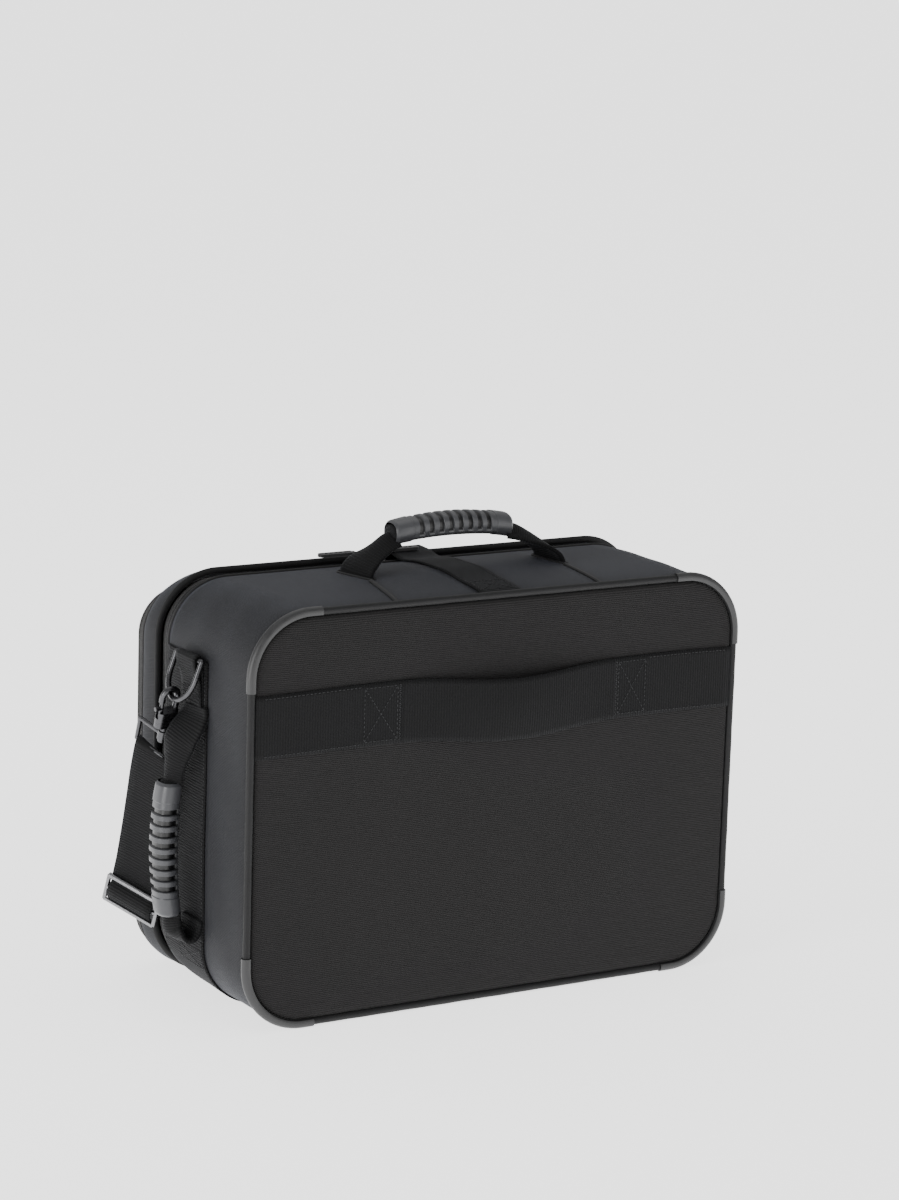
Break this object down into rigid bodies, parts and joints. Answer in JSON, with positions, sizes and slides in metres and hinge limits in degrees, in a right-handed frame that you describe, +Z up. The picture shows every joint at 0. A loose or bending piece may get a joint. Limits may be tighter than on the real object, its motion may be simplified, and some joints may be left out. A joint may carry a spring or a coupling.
{
  "type": "flight crew bag",
  "caption": "Soft-sided flight bag with a zipped front section, trolley sleeve, carry handles on the top and side, and a shoulder strap on swivel hooks.",
  "frame": {"origin": "middle of the base, on the floor", "axes": "+X across the bag, +Z up, the trolley sleeve faces -Y and the front section faces +Y"},
  "size_m": [0.5388, 0.2337, 0.3965],
  "materials": {
    "ballistic_cloth": "matt ribbed ballistic nylon",
    "side_cloth": "smooth coated nylon",
    "bound_cloth": "nylon binding",
    "webbing": "ribbed nylon webbing",
    "lining_cloth": "plain lining",
    "board": "stiffener board",
    "hoop_steel": "spring steel wire",
    "guard_rubber": "satin moulded",
    "base_rubber": "matt moulded",
    "grip_rubber": "satin moulded",
    "zip_tape": "woven tape",
    "zip_coil": "coil",
    "ring_metal": "dark nickel",
    "hook_metal": "dark nickel",
    "spring_steel": "wire",
    "glide_metal": "satin nickel",
    "slider_metal": "nickel",
    "pull_rubber": "matt moulded"
  },
  "bodies": {
    "root": {"back_panel": "ballistic_cloth", "back_board": "board", "back_piping": "bound_cloth", "corner_guards": "guard_rubber", "gusset_shell": "side_cloth", "gusset_lining": "lining_cloth", "frame_hoop": "hoop_steel", "rear_rim": "bound_cloth", "zip_tape_rear": "zip_tape", "zip_coil_rear": "zip_coil", "trolley_sleeve": "webbing", "carry_band": "webbing", "base_panel": "base_rubber", "keeper_tab": "webbing", "hinge_strip": "side_cloth", "top_handle_feet": "webbing", "side_handle_feet": "webbing", "ring_keeper_left": "webbing", "ring_keeper_right": "webbing", "strap_left_drop": "webbing", "strap_left_turn": "webbing", "strap_right_drop": "webbing"},
    "lid": {"lid_rim": "bound_cloth", "lid_gusset": "side_cloth", "lid_front": "ballistic_cloth", "lid_board": "board", "lid_lining": "lining_cloth", "lid_hoop": "hoop_steel", "zip_tape_lid": "zip_tape", "zip_coil_lid": "zip_coil", "strap_front_run": "webbing"},
    "top_handle": {"top_grip": "grip_rubber", "top_handle_straps": "webbing"},
    "side_handle": {"side_grip": "grip_rubber", "side_handle_straps": "webbing"},
    "ring_left": {"d_ring_left": "ring_metal", "hook_eye_left": "hook_metal"},
    "hook_left": {"hook_left": "hook_metal", "hook_spring_left": "spring_steel"},
    "trigger_left": {"trigger_left": "hook_metal"},
    "ring_right": {"d_ring_right": "ring_metal", "hook_eye_right": "hook_metal"},
    "hook_right": {"hook_right": "hook_metal", "hook_spring_right": "spring_steel"},
    "trigger_right": {"trigger_right": "hook_metal"},
    "tri_glide": {"tri_glide": "glide_metal"},
    "slider_left": {"zip_slider_left": "slider_metal"},
    "pull_left": {"zip_pull_left": "pull_rubber"},
    "slider_right": {"zip_slider_right": "slider_metal"},
    "pull_right": {"zip_pull_right": "pull_rubber"}
  },
  "joints": [
    {"name": "lid_hinge", "type": "hinge", "parent": "root", "child": "lid", "pos_m": [0.237, 0.05, 0.175], "axis": [0, 0, -1], "range_deg": [0, 95], "deforming": ["hinge_strip", "strap_front_run"]},
    {"name": "top_handle_swing", "type": "hinge", "parent": "root", "child": "top_handle", "pos_m": [0, -0.015, 0.351], "axis": [1, 0, 0], "range_deg": [-60, 60], "stiffness_Nm_per_rad": 0.25, "deforming": ["top_handle_straps"]},
    {"name": "side_handle_swing", "type": "hinge", "parent": "root", "child": "side_handle", "pos_m": [-0.237, -0.015, 0.138], "axis": [0, 0, 1], "range_deg": [-25, 45], "stiffness_Nm_per_rad": 0.15, "deforming": ["side_handle_straps"]},
    {"name": "ring_left_swing", "type": "hinge", "parent": "root", "child": "ring_left", "pos_m": [-0.241, -0.014, 0.297], "axis": [0, 1, 0], "range_deg": [0, 30], "deforming": ["strap_left_drop"]},
    {"name": "ring_right_swing", "type": "hinge", "parent": "root", "child": "ring_right", "pos_m": [0.241, -0.014, 0.297], "axis": [0, -1, 0], "range_deg": [0, 30], "deforming": ["strap_right_drop"]},
    {"name": "hook_left_swivel", "type": "hinge", "parent": "ring_left", "child": "hook_left", "pos_m": [-0.25283, -0.00408, 0.26269], "axis": [-0.0278, -0.3822, 0.9237], "range_deg": [-15, 15]},
    {"name": "hook_right_swivel", "type": "hinge", "parent": "ring_right", "child": "hook_right", "pos_m": [0.25355, -0.014, 0.26071], "axis": [0, 0, 1], "range_deg": [-15, 15]},
    {"name": "trigger_left_slide", "type": "slide", "parent": "hook_left", "child": "trigger_left", "axis": [0.0278, 0.3822, -0.9237], "range_m": [0, 0.006], "stiffness_N_per_m": 300, "springref_m": -0.001, "deforming": ["hook_spring_left"]},
    {"name": "trigger_right_slide", "type": "slide", "parent": "hook_right", "child": "trigger_right", "axis": [0, 0, -1], "range_m": [0, 0.006], "stiffness_N_per_m": 300, "springref_m": -0.001, "deforming": ["hook_spring_right"]},
    {"name": "tri_glide_slide", "type": "slide", "parent": "root", "child": "tri_glide", "axis": [0.007, -0.262, 0.965], "range_m": [0, 0.09], "deforming": ["strap_left_drop"]},
    {"name": "slider_left_slide", "type": "slide", "parent": "root", "child": "slider_left", "axis": [-1, 0, 0], "range_m": [0, 0.12]},
    {"name": "slider_right_slide", "type": "slide", "parent": "root", "child": "slider_right", "axis": [1, 0, 0], "range_m": [0, 0.005]},
    {"name": "pull_left_flip", "type": "hinge", "parent": "slider_left", "child": "pull_left", "pos_m": [-0.049, 0.05, 0.3525], "axis": [0, 1, 0], "range_deg": [0, 110]},
    {"name": "pull_right_flip", "type": "hinge", "parent": "slider_right", "child": "pull_right", "pos_m": [-0.032, 0.05, 0.3525], "axis": [0, -1, 0], "range_deg": [0, 110]}
  ]
}
